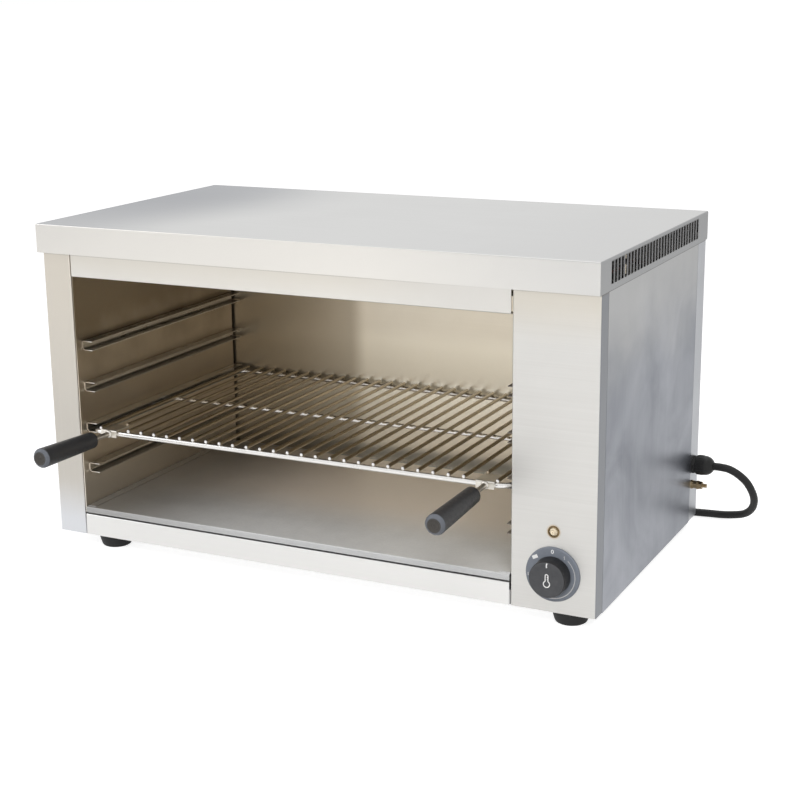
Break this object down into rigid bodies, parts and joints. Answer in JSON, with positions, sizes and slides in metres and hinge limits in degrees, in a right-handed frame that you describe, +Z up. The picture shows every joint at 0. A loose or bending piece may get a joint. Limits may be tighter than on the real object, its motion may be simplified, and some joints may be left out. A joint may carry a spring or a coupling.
{
  "type": "cheese melter",
  "caption": "Counter-top cheese melter: open-front stainless cabinet with vented cap, runner levels, sliding wire grid with grips, crumb tray, thermostat knob and cord.",
  "frame": {"origin": "centre of the object's own box in X and Y (its cord left out), on the floor under the feet", "axes": "+X to the right along the front, +Y to the back, +Z up"},
  "size_m": [0.8907, 0.7738, 0.4586],
  "materials": {
    "satin_steel": "satin brushed stainless sheet",
    "side_steel": "satin brushed stainless sheet",
    "liner_steel": "dull heat-darkened sheet",
    "hidden_steel": "plain galvanised sheet",
    "wire_steel": "bright plated wire",
    "black_plastic": "satin black moulding",
    "grey_plastic": "satin blue-grey moulding",
    "element": "dull oxidised sheath",
    "thermostat": "moulded housing",
    "copper": "bare copper tube",
    "brass": "bright turned brass",
    "lamp_rim": "dark gold satin rim",
    "lens": "clear amber lens",
    "wool": "mineral fibre blanket",
    "white_plastic": "moulded terminal block",
    "wire_insulation": "silicone insulation",
    "rubber": "black cord sheath",
    "steel": "zinc-plated steel"
  },
  "bodies": {
    "cabinet": {"top_cover": "satin_steel", "left_side_panel": "satin_steel", "right_side_panel": "side_steel", "control_fascia": "satin_steel", "back_panel": "side_steel", "header_panel": "satin_steel", "base_front_panel": "satin_steel", "base_plate": "hidden_steel", "seam_strips": "hidden_steel", "liner_left": "liner_steel", "liner_right": "liner_steel", "liner_back": "liner_steel", "cavity_deck": "hidden_steel", "ceiling_reflector": "satin_steel", "insulation": "wool", "runner_left_1": "liner_steel", "runner_left_2": "liner_steel", "runner_left_3": "liner_steel", "runner_left_4": "liner_steel", "runner_right_1": "liner_steel", "runner_right_2": "liner_steel", "runner_right_3": "liner_steel", "runner_right_4": "liner_steel", "tray_glides": "hidden_steel", "heating_elements": "element", "element_hangers": "hidden_steel", "thermostat_body": "thermostat", "thermostat_bulb": "copper", "bulb_clips": "hidden_steel", "dial_ring": "grey_plastic", "pilot_rim": "lamp_rim", "pilot_lens": "lens", "pilot_body": "thermostat", "terminal_block": "white_plastic", "wiring": "wire_insulation", "cable_tail": "rubber", "gland_body": "black_plastic", "gland_dome_nut": "black_plastic", "gland_locknut": "black_plastic", "bonding_stud": "brass", "bonding_nuts": "brass", "bonding_washers": "brass", "feet": "black_plastic", "foot_screws": "steel", "back_screws": "steel", "power_cord": "rubber", "power_cord_coil": "rubber", "coil_tie": "black_plastic", "plug_body": "rubber", "plug_pins": "brass"},
    "grid": {"grid_frame": "wire_steel", "grid_crossbar": "wire_steel", "grid_wires": "wire_steel", "handle_brackets": "steel", "handle_stems": "wire_steel", "handle_grips": "black_plastic"},
    "tray": {"crumb_tray": "satin_steel"},
    "knob": {"control_knob": "grey_plastic", "thermostat_shaft": "steel"}
  },
  "joints": [
    {"name": "grid_slide", "type": "slide", "parent": "cabinet", "child": "grid", "axis": [0, -1, 0], "range_m": [0, 0.36]},
    {"name": "tray_slide", "type": "slide", "parent": "cabinet", "child": "tray", "axis": [0, -1, 0], "range_m": [0, 0.355]},
    {"name": "knob_turn", "type": "hinge", "parent": "cabinet", "child": "knob", "pos_m": [0.3316, -0.15591, 0.068], "axis": [0, 1, 0], "range_deg": [0, 300]}
  ]
}
